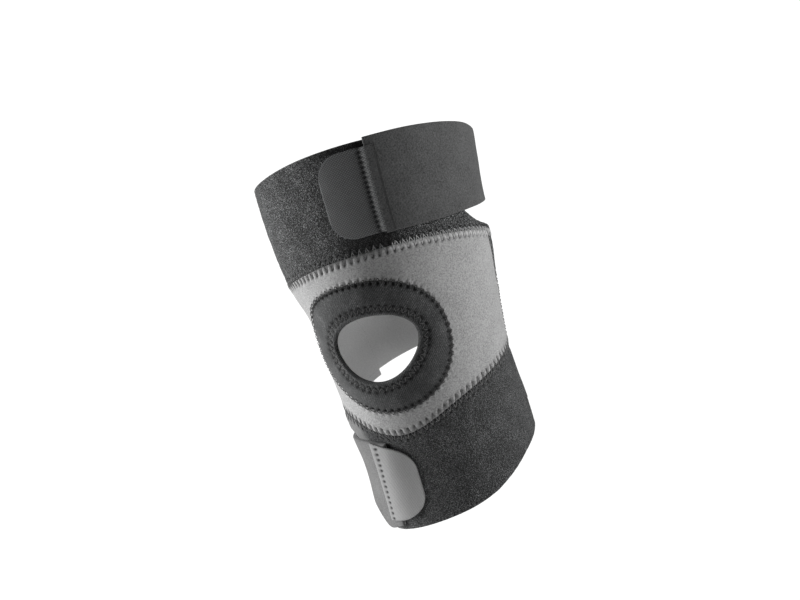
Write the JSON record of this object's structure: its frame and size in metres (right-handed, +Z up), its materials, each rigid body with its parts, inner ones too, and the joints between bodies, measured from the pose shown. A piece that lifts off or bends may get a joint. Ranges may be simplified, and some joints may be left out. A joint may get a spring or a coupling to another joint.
{
  "type": "knee sleeve",
  "caption": "Open-kneecap neoprene knee sleeve in its worn form, with a padded ring round the kneecap and a hook-and-loop wrap strap above and below",
  "frame": {"origin": "centre of the leg's hollow at the height of the kneecap opening's middle", "axes": "+Z up the leg towards the thigh, -Y forward through the kneecap opening, +X to the side where the thigh strap comes round"},
  "size_m": [0.1519, 0.1579, 0.2607],
  "materials": {
    "loop_pile": "brushed loop pile, matte",
    "light_jersey": "smooth knitted jersey, matte",
    "ring_knit": "fine diagonal knit, matte",
    "dark_jersey": "smooth jersey, matte",
    "dark_weave": "fine square weave, matte",
    "grey_jersey": "smooth jersey, matte",
    "grey_weave": "fine weave, matte"
  },
  "bodies": {
    "root": {"thigh_cuff": "loop_pile", "front_panel": "light_jersey", "kneecap_ring": "ring_knit", "back_panel": "loop_pile", "calf_cuff": "loop_pile", "thigh_strap": "dark_jersey", "thigh_hook_tab": "dark_weave", "calf_strap": "grey_jersey", "calf_hook_tab": "grey_weave"}
  },
  "joints": []
}
